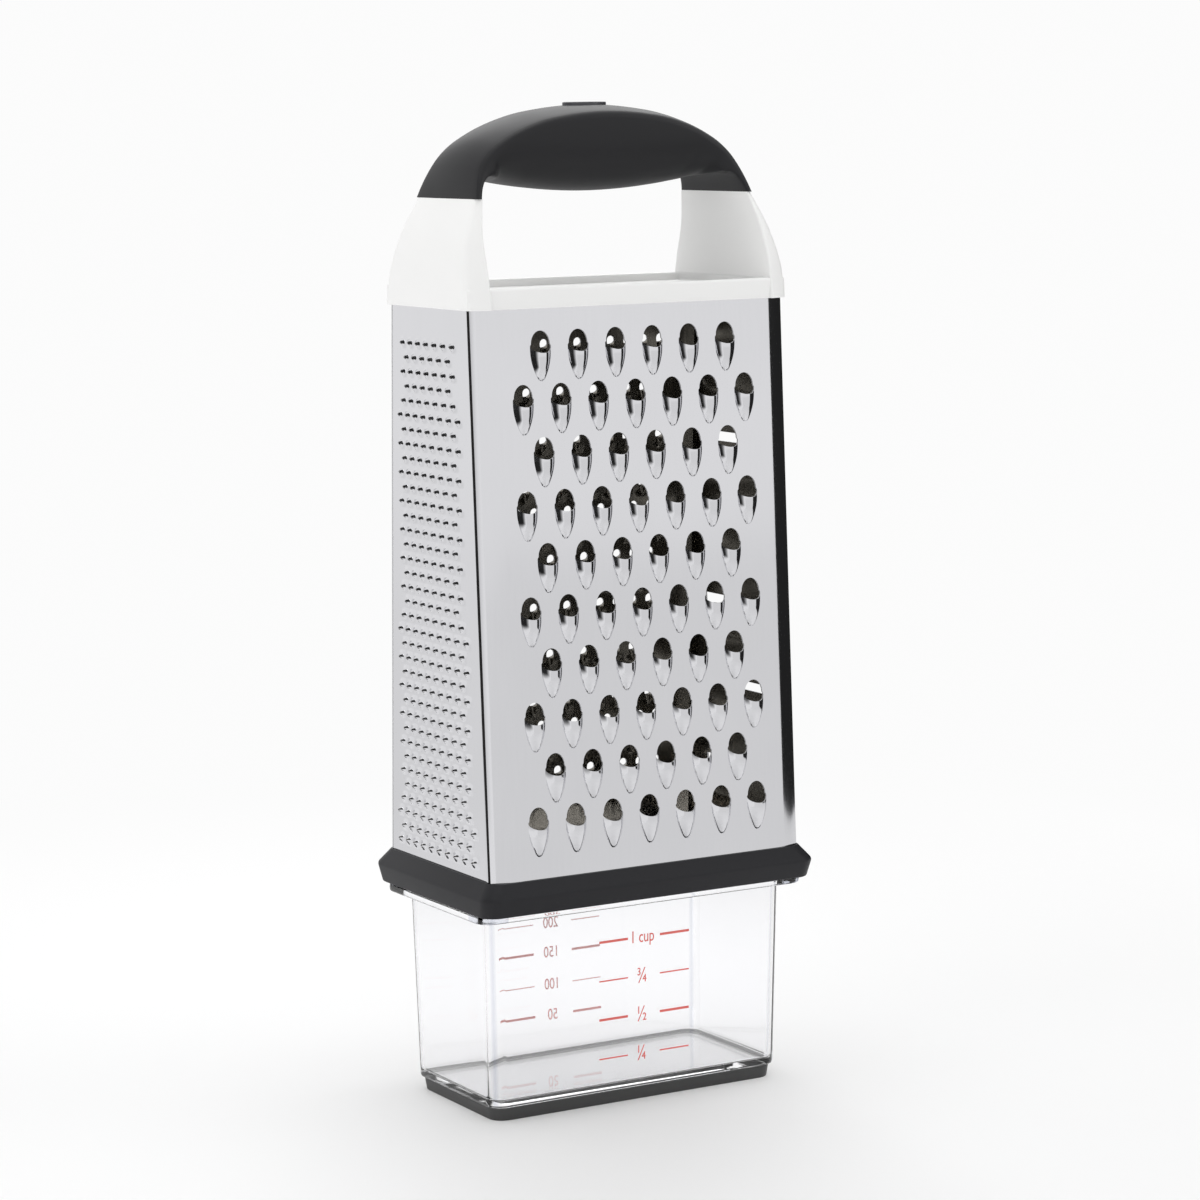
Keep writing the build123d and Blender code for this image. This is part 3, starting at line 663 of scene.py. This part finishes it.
def legShape(side, c):
    # rings up the leg: a crowned outer face, a front and a back strip that turn in from the
    # crease, and a flat inner face; each size goes from base to top by its own share
    rise, inward, creaseIn, thin, depthIn = smoothThrough(c["shares"], 6).T
    outside = c["baseOut"] + (c["topOut"] - c["baseOut"]) * inward
    inside = outside - (c["baseThick"] + (c["topThick"] - c["baseThick"]) * thin)
    crease = c["baseCrease"] + (c["topCrease"] - c["baseCrease"]) * creaseIn
    depth = c["baseDepth"] + (c["topDepth"] - c["baseDepth"]) * depthIn
    z = c["baseZ"] + (c["topZ"] - c["baseZ"]) * rise
    across = np.linspace(-1, 1, 9)
    x = [outside - c["crown"] * inward * share ** 2 for share in across] + [inside, inside]
    y = [crease * share for share in across] + [depth, -depth]
    corners = np.stack([np.array(x), np.array(y)], axis=-1)
    ring = softened(corners, c["edges"], steps=4, closed=True)
    if side < 0:
        ring = ring[::-1]
    ring = np.swapaxes(ring, 0, 1)
    height = np.broadcast_to(z[:, None, None], ring.shape[:2] + (1,))
    return ringLoft(np.concatenate([ring * [side, 1], height], axis=-1))


def united(first, others):
    # the shapes become one closed surface
    for other in others:
        step = first.modifiers.new("union", "BOOLEAN")
        step.operation, step.solver, step.object = "UNION", "EXACT", other
    view = first.evaluated_get(bpy.context.evaluated_depsgraph_get())
    shape = bpy.data.meshes.new_from_object(view)
    first.modifiers.clear()
    first.data = shape
    for other in others:
        bpy.data.objects.remove(other)
    return first


whiteHandle = makePiece("whiteHandle", *capShape(cap), {"sharpAngle": 50})
legs = [makePiece("leg", *legShape(side, leg), {"sharpAngle": 50}) for side in (-1, 1)]
united(whiteHandle, legs)
finishPiece(whiteHandle, [whiteFinish], "grater", ["handle"])
print("white handle made")

# dark grip

grip = {"footZ": 276.3, "halfDepth": 15.6, "footDepth": 19.5, "waistRise": 19.0, "crown": 2.4,
        "footCrown": 0.8, "edge": 1.7, "edgeShare": 0.28, "bellyTop": 292.1, "bellyStart": 4.5,
        "bellySpan": 9, "footPower": 7, "bellyPower": 2,
        # outer x and z, inner x and z, from a foot to the middle
        "pairs": [(48.5, 276.3, 45.7, 276.3), (47.9, 279.6, 44.7, 279.2), (46.9, 283.2, 43.1, 281.5),
                  (45.3, 286.9, 40.7, 282.4), (42.8, 290.4, 36.4, 281.3), (39.2, 293.7, 30.9, 280.2),
                  (34.4, 296.6, 25.2, 279.3), (28.6, 299.1, 19.8, 278.65), (21.4, 301.25, 14.2, 278.1),
                  (13.6, 302.5, 9.0, 277.75), (6.7, 303.18, 4.4, 277.56), (0, 303.4, 0, 277.5)]}


def gripShape(c):
    # Rows go over the arch, points round the section. A point is outer + (inner - outer) * a and
    # lies half depth * b to the side. The section is a crowned top, a soft edge, and below it
    # |a|^n + |b|^n = 1, nearly square at the feet and an ellipse in the belly.
    half = np.array(c["pairs"])
    rows = smoothThrough(np.vstack([half * [-1, 1, -1, 1], half[-2::-1]]), 6)
    outer, inner = rows[:, :2], rows[:, 2:]
    thick = np.linalg.norm(inner - outer, axis=1)[:, None]
    rise = np.clip((outer[:, 1:] - c["footZ"]) / c["waistRise"], 0, 1)
    depth = c["halfDepth"] + (c["footDepth"] - c["halfDepth"]) * (1 - rise) ** 2
    crown = c["footCrown"] + (c["crown"] - c["footCrown"]) * rise
    belly = np.clip((thick - c["bellyStart"]) / c["bellySpan"], 0, 1)
    belly = belly * belly * (3 - 2 * belly)
    power = 2 / (c["footPower"] - (c["footPower"] - c["bellyPower"]) * belly)
    edge = np.minimum(c["edge"], thick * c["edgeShare"])
    crownShare, edgeShare, edgeAcross = crown / thick, edge / thick, edge / depth
    sideEnd = np.maximum(crownShare + edgeShare, (outer[:, 1:] - c["bellyTop"]) / thick)
    topB = np.linspace(0, 1, 9)[None, :] * (1 - edgeAcross)
    topA = crownShare * topB ** 2
    turn = np.linspace(0, math.pi / 2, 6)[None, 1:]
    edgeB = 1 - edgeAcross + edgeAcross * np.sin(turn)
    edgeA = topA[:, -1:] + (crownShare - topA[:, -1:]) * np.sin(turn) + edgeShare * (1 - np.cos(turn))
    turn = np.linspace(0, math.pi / 2, 16)[None, :]
    lowB = np.abs(np.cos(turn)) ** power
    lowA = sideEnd + (1 - sideEnd) * np.abs(np.sin(turn)) ** power
    lowB[:, -1] = 0
    b = np.hstack([topB, edgeB, lowB])
    a = np.hstack([topA, edgeA, lowA])
    b = np.hstack([b, -b[:, -2:0:-1]])
    a = np.hstack([a, a[:, -2:0:-1]])
    x = outer[:, :1] + (inner[:, :1] - outer[:, :1]) * a
    z = outer[:, 1:] + (inner[:, 1:] - outer[:, 1:]) * a
    return ringLoft(np.stack([x, -b * depth, z], axis=-1))


softGrip = makePiece("softGrip", *gripShape(grip), {"sharpAngle": 60})
finishPiece(softGrip, [gripFinish], "grater", ["grip"])

badge = {"halfX": 7.3, "halfY": 4.0, "points": 48, "edges": [0.25, 0.2],
         # share of full size and height
         "steps": [(1.0, 302.4), (1.0, 304.05), (0.93, 304.17), (0.3, 304.2)]}


def ovalShape(c):
    # rings (x, y) = (half x, half y) * (cos, sin), softened at the top edge and closed by a low dome
    steps = softened(c["steps"], c["edges"], steps=4)
    turn = np.linspace(0, 2 * math.pi, c["points"], endpoint=False)
    rings = [np.column_stack([c["halfX"] * share * np.cos(turn), c["halfY"] * share * np.sin(turn),
                              np.full(len(turn), z)]) for share, z in steps]
    return ringLoft(np.array(rings))


ovalBadge = makePiece("ovalBadge", *ovalShape(badge), {"sharpAngle": 50})
finishPiece(ovalBadge, [badgeFinish], "grater", ["grip_badge"])
print("grip made")

# collar, container and foot

collar = {"corner": 5.0, "inside": 0.1, "underIn": 1.5, "topIn": 0.2,
          "outside": [(57.5, 35.75, 65.1), (58.3, 37.6, 70.8), (54.75, 35.15, 75.2)],
          "edges": [0.5, 0.9, 0.35]}


def collarShape(c):
    # rounded rectangles up the outside, then body outlines down the inside, closed on themselves
    low, crease, high = c["outside"]
    steps = [(low[0] - c["underIn"], low[1] - c["underIn"], c["corner"], low[2]),
             (*low[:2], c["corner"], low[2]),
             (*crease[:2], c["corner"], crease[2]), (*high[:2], c["corner"], high[2]),
             (high[0] - c["topIn"], high[1] - c["topIn"], c["corner"], high[2])]
    outside = roundedRings(softened(steps, c["edges"], steps=4), steps=8)
    inside = np.array([bodyRing(c["inside"], z, steps=8) for z in np.linspace(high[2], low[2], 6)])
    return ringLoft(np.concatenate([outside, inside]), closed=True)


darkCollar = makePiece("darkCollar", *collarShape(collar), {"sharpAngle": 50})
finishPiece(darkCollar, [collarFinish], "grater", ["collar"])

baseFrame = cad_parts["base_frame"].data.materials
baseFrame.clear()
baseFrame.append(collarFinish)

tub = {"corner": 5.0, "insideCorner": 3.2, "upstandCorner": 4.1, "floorCorner": 2.2,
       "plinthCorner": 3.6, "underCorner": 1.5, "inset": 3.0, "plinthBottom": 0.9, "bottom": 4.1,
       "rim": 64.8, "rimUnder": 62.6, "floor": 6.1, "upstand": 68.8, "plinth": (48.1, 23.0),
       "edges": [0.6, 0.2, 1.0, 0.8, 0.7, 0.7, 0.4, 0.3, 0.3, 0.5, 1.4],
       "outsideLow": (50.9, 25.6), "outsideHigh": (52.1, 27.1), "flange": (57.1, 32.1),
       "upstandOut": (51.2, 26.2), "insideHigh": (50.3, 25.3), "insideLow": (49.1, 23.8)}


def tubShape(c):
    # rounded rectangles from under the plinth inside the foot ring up the outside, round the
    # flange and the upstand, and down the inside to the floor
    corner, inner, raised = c["corner"], c["insideCorner"], c["upstandCorner"]
    low, inside = np.array(c["outsideLow"]), np.array(c["insideLow"])
    wide = np.array(c["outsideHigh"]) - low
    under = low + wide * (c["rimUnder"] - c["bottom"]) / (c["rim"] - c["bottom"])
    steps = [(*np.array(c["plinth"]) - c["inset"], c["underCorner"], c["plinthBottom"]),
             (*c["plinth"], c["plinthCorner"], c["plinthBottom"]),
             (*c["plinth"], c["plinthCorner"], c["bottom"]), (*low, corner, c["bottom"]),
             (*under, corner, c["rimUnder"]), (*c["flange"], corner, c["rimUnder"]),
             (*c["flange"], corner, c["rim"]), (*c["upstandOut"], raised, c["rim"]),
             (*c["upstandOut"], raised, c["upstand"]), (*c["insideHigh"], inner, c["upstand"]),
             (*c["insideHigh"], inner, c["rim"]), (*inside, inner, c["floor"]),
             (*inside - c["inset"], c["floorCorner"], c["floor"])]
    return ringLoft(roundedRings(softened(steps, c["edges"], steps=4), steps=8))


clearTub = makePiece("clearTub", *tubShape(tub), {"sharpAngle": 50})
finishPiece(clearTub, [clearFinish], "container", ["container"])
clearTub.visible_shadow = False  # light reaches what lies inside and under the clear plastic

marks = {"condense": 0.72, "depth": 0.1, "gap": 0.03, "bold": 0.75, "plain": 0.42, "faint": 0.28,
         # label, letter size, height and line width; then the label's middle and the two lines' ends
         "cups": [("1 cup", 5.4, 51.3, "bold"), ("\u00be", 6.6, 39.1, "plain"),
                  ("\u00bd", 6.6, 27.0, "bold"), ("\u00bc", 6.6, 14.7, "plain")],
         "cupPlaces": (1.0, (-14.2, -4.1), (7.3, 17.7)),
         "millilitres": [("200", 5.2, 47.9, "faint"), ("150", 5.2, 38.1, "bold"),
                         ("100", 5.2, 27.4, "faint"), ("50", 5.2, 17.2, "bold")],
         "millilitrePlaces": (1.9, (-15.9, -5.6), (8.3, 19.2))}


def labelShape(words, size, c):
    # the built-in letters as one closed mesh, centred across and on their own height
    curve = bpy.data.curves.new("label", "FONT")
    curve.body, curve.size, curve.extrude = words, size, c["depth"] / 2
    curve.align_x, curve.align_y = "CENTER", "CENTER"
    holder = bpy.data.objects.new("label", curve)
    mesh = bpy.data.meshes.new_from_object(holder)
    mesh.calc_loop_triangles()
    points = np.zeros(len(mesh.vertices) * 3)
    mesh.vertices.foreach_get("co", points)
    corners = np.zeros(len(mesh.loop_triangles) * 3, dtype=np.int32)
    mesh.loop_triangles.foreach_get("vertices", corners)
    points, same = np.unique(points.reshape(-1, 3).round(5), axis=0, return_inverse=True)
    bpy.data.objects.remove(holder)
    triangles = same.ravel()[corners].reshape(-1, 3)
    kept = np.all(triangles != np.roll(triangles, 1, axis=1), axis=1)
    return points * [c["condense"], 1, 1], triangles[kept]


def markShape(side, rows, places, c):
    # labels and lines on the outside of the front (side -1) or back (side 1) wall: the wall's
    # half depth at height z is low + (high - low) * (z - bottom) / (rim - bottom)
    low, high = tub["outsideLow"][1], tub["outsideHigh"][1]
    middle, *lines = places
    points, triangles, quads, count = [], [], [], 0
    for words, size, height, width in rows:
        letters, faces = labelShape(words, size, c)
        letters = letters + [middle, 0, c["depth"] / 2]
        triangles.append(faces + count)
        count += len(letters)
        points.append(letters + [0, height, 0])
        for start, end in lines:
            half = c[width] / 2
            ring = np.array([(start, -half), (end, -half), (end, half), (start, half)])
            box, (around, back, front) = ringLoft(np.array(
                [np.column_stack([ring, np.full(4, level)]) for level in (0, c["depth"])]))
            points.append(box + [0, height, 0])
            quads.append(np.concatenate([around, back, front]) + count)
            count += len(box)
    across, up, out = np.concatenate(points).T
    wall = low + (high - low) * (up - tub["bottom"]) / (tub["rim"] - tub["bottom"])
    places = np.stack([-side * across, side * (wall + c["gap"] + out), up], axis=-1)
    return places, [np.concatenate(triangles), np.concatenate(quads)]


cupShape = markShape(-1, marks["cups"], marks["cupPlaces"], marks)
cupMarks = makePiece("cupMarks", *cupShape, {})
finishPiece(cupMarks, [printFinish], "container")
millilitreShape = markShape(1, marks["millilitres"], marks["millilitrePlaces"], marks)
millilitreMarks = makePiece("millilitreMarks", *millilitreShape, {})
finishPiece(millilitreMarks, [farPrintFinish], "container")

foot = {"corner": 5.0, "ring": 1.2, "edges": [0.3, 0.9, 0.3, 0.3], "low": (49.45, 24.35, 0.0),
        "high": (49.95, 24.85, 4.1)}


def footShape(c):
    # a closed band: up the outside, over the top, down the inside and back under
    low, high, ring = c["low"], c["high"], c["ring"]
    inner = c["corner"] - ring
    steps = [(low[0], low[1], c["corner"], low[2]), (high[0], high[1], c["corner"], high[2]),
             (high[0] - ring, high[1] - ring, inner, high[2]),
             (low[0] - ring, low[1] - ring, inner, low[2])]
    band = softened(steps, c["edges"], steps=4, closed=True)
    return ringLoft(roundedRings(band, steps=8), closed=True)


darkFoot = makePiece("darkFoot", *footShape(foot), {"sharpAngle": 50})
finishPiece(darkFoot, [footFinish], "container", ["container_foot"])
darkFoot.visible_shadow = False
print("collar, container and foot made")

# stage, light and camera


def stageCard(name, centre, size, turn, material):
    # a flat card seen only in reflections
    mesh = bpy.data.meshes.new(name)
    x, y = size[0] / 2, size[1] / 2
    mesh.from_pydata([(-x, 0, -y), (x, 0, -y), (x, 0, y), (-x, 0, y)], [], [(0, 1, 2, 3)])
    mesh.transform(Matrix.Translation(centre) @ Matrix.Rotation(math.radians(turn), 4, "Z"))
    card = bpy.data.objects.new(name, mesh)
    bpy.context.scene.collection.objects.link(card)
    card.data.materials.append(material)
    card.visible_camera = card.visible_diffuse = card.visible_shadow = card.visible_transmission = False


def glowMaterial(name, level, fades):
    # an even glow; each fade (axis, white end, dark end) lets the card turn white along it
    material = bpy.data.materials.new(name)
    material.use_nodes = True
    tree = material.node_tree
    tree.nodes.clear()
    apart = feed(tree, addNode(tree, "ShaderNodeSeparateXYZ"), {0: objectPlace(tree)}).outputs
    brightness = addNode(tree, "ShaderNodeValue").outputs[0]
    brightness.default_value = level
    for axis, whiteEnd, darkEnd in fades:
        fade = smoothFade(tree, apart[axis], whiteEnd, darkEnd, 1, 0)
        brightness = computed(tree, "MAXIMUM", brightness, fade)
    glow = feed(tree, addNode(tree, "ShaderNodeEmission"), {"Color": brightness})
    feed(tree, addNode(tree, "ShaderNodeOutputMaterial"), {"Surface": glow.outputs[0]})
    return material


def seenRays(tree):
    # 1 for a ray from the camera, a mirror or clear plastic
    rays = addNode(tree, "ShaderNodeLightPath").outputs
    mirrored = computed(tree, "MAXIMUM", rays["Is Camera Ray"], rays["Is Glossy Ray"])
    return computed(tree, "MAXIMUM", mirrored, rays["Is Transmission Ray"])


stage = {"floorColour": 0.92, "floorRoughness": 0.6, "floorShine": 0.2, "floorHalf": 12.0,
         "fadeStart": 0.16, "fadeEnd": 0.55, "ambient": 0.66, "seenWhite": 0.97,
         "nearWhite": 0.86, "nearCentre": (0.6, -1.0, 0), "nearEnd": 1.5, "farStart": 3.2}


def floorMaterial(c):
    # pale floor that keeps the shadow near the object and becomes plain white away from it;
    # what steel mirrors of it is a little greyer on the near side
    material = bpy.data.materials.new("paleFloor")
    material.use_nodes = True
    tree = material.node_tree
    shader = feed(tree, tree.nodes["Principled BSDF"], {
        "Base Color": (c["floorColour"],) * 3 + (1,), "Roughness": c["floorRoughness"],
        "Specular IOR Level": c["floorShine"]})
    place = objectPlace(tree)
    apart = addNode(tree, "ShaderNodeVectorMath", operation="DISTANCE")
    feed(tree, apart, {0: place, 1: c["nearCentre"]})
    grey = smoothFade(tree, apart.outputs["Value"], c["nearEnd"], c["farStart"],
                      c["nearWhite"] - c["seenWhite"], 0)
    mirror = addNode(tree, "ShaderNodeLightPath").outputs["Is Glossy Ray"]
    white = computed(tree, "MULTIPLY_ADD", grey, mirror, c["seenWhite"])
    glow = feed(tree, addNode(tree, "ShaderNodeEmission"), {"Color": white})
    away = feed(tree, addNode(tree, "ShaderNodeVectorMath", operation="LENGTH"), {0: place})
    fade = smoothFade(tree, away.outputs["Value"], c["fadeStart"], c["fadeEnd"])
    mix = feed(tree, addNode(tree, "ShaderNodeMixShader"), {
        "Fac": computed(tree, "MULTIPLY", fade, seenRays(tree)), 1: shader.outputs[0],
        2: glow.outputs[0]})
    tree.links.new(mix.outputs[0], tree.nodes["Material Output"].inputs["Surface"])
    return material


floorMesh = bpy.data.meshes.new("floor")
half = stage["floorHalf"]
floorCorners = [(-half, -half, 0), (half, -half, 0), (half, half, 0), (-half, half, 0)]
floorMesh.from_pydata(floorCorners, [], [(0, 1, 2, 3)])
floorObject = bpy.data.objects.new("floor", floorMesh)
bpy.context.scene.collection.objects.link(floorObject)
floorMesh.materials.append(floorMaterial(stage))

world = bpy.data.worlds.new("studio")
bpy.context.scene.world = world
world.use_nodes = True
worldTree = world.node_tree
ambient = feed(worldTree, worldTree.nodes["Background"], {
    "Color": (1, 1, 1, 1), "Strength": stage["ambient"]})
white = feed(worldTree, addNode(worldTree, "ShaderNodeBackground"), {
    "Color": (1, 1, 1, 1), "Strength": stage["seenWhite"]})
worldMix = feed(worldTree, addNode(worldTree, "ShaderNodeMixShader"), {
    "Fac": seenRays(worldTree), 1: ambient.outputs[0], 2: white.outputs[0]})
worldTree.links.new(worldMix.outputs[0], worldTree.nodes["World Output"].inputs["Surface"])

# dark cards that the curved steel mirrors: centre, width and height in metres, turn in degrees,
# level and fades
cards = {"darkRight": ((0.4, 0.09, 0.215), (0.82, 0.37), 90, 0.02, []),
         "darkLeft": ((-0.25, -0.19, 0.2), (0.42, 0.4), 90, 0.02,
                      [("Y", -0.36, -0.15), ("Z", 0.04, 0.1)])}
for name, (centre, size, turn, level, fades) in cards.items():
    stageCard(name, centre, size, turn, glowMaterial(name, level, fades))

# soft lamps: place, aim, size in metres and power in watts
lamps = {"behind": ((0.8, 1.5, 1.5), (0, 0, 0.15), 1.4, 11),
         "above": ((0.1, 0.1, 1.9), (0, 0, 0.1), 0.9, 8),
         "left": ((-2.2, -0.4, 0.6), (0, 0, 0.15), 1.2, 9),
         "right": ((1.9, -1.2, 1.0), (0, 0, 0.15), 1.2, 7)}
for name, (place, aim, size, power) in lamps.items():
    light = bpy.data.lights.new(name, "AREA")
    light.size, light.energy = size, power
    lamp = bpy.data.objects.new(name, light)
    bpy.context.scene.collection.objects.link(lamp)
    back = np.array(place) - np.array(aim)
    back = back / np.linalg.norm(back)
    right = np.cross([0, 0, 1], back)
    right = right / np.linalg.norm(right)
    up = np.cross(back, right)
    lamp.matrix_world = (Matrix.Translation(place)
                         @ Matrix(np.column_stack([right, up, back]).tolist()).to_4x4())
    lamp.visible_camera = False

view = {"azimuth": 30.025, "pitch": 7.798, "roll": -0.786, "distance": 1.12206, "height": 0.3044,
        "lens": 110.37, "sensor": 36, "shiftX": 0.00755, "shiftY": 0.003875}
azimuth, pitch, roll = [math.radians(view[key]) for key in ("azimuth", "pitch", "roll")]
forward = np.array([math.sin(azimuth) * math.cos(pitch), math.cos(azimuth) * math.cos(pitch),
                    -math.sin(pitch)])
level = np.array([math.cos(azimuth), -math.sin(azimuth), 0])
upright = np.cross(level, forward)
cameraRight = level * math.cos(roll) + upright * math.sin(roll)
cameraUp = -level * math.sin(roll) + upright * math.cos(roll)
camera = bpy.data.objects.new("camera", bpy.data.cameras.new("camera"))
camera.data.lens = view["lens"]
camera.data.sensor_width = view["sensor"]
camera.data.shift_x, camera.data.shift_y = view["shiftX"], view["shiftY"]
cameraPlace = (-view["distance"] * math.sin(azimuth), -view["distance"] * math.cos(azimuth),
               view["height"])
camera.matrix_world = (Matrix.Translation(cameraPlace)
                       @ Matrix(np.column_stack([cameraRight, cameraUp, -forward]).tolist()).to_4x4())
bpy.context.scene.collection.objects.link(camera)
bpy.context.scene.camera = camera
bpy.context.scene.view_settings.view_transform = "Standard"
print("stage, light and camera set")
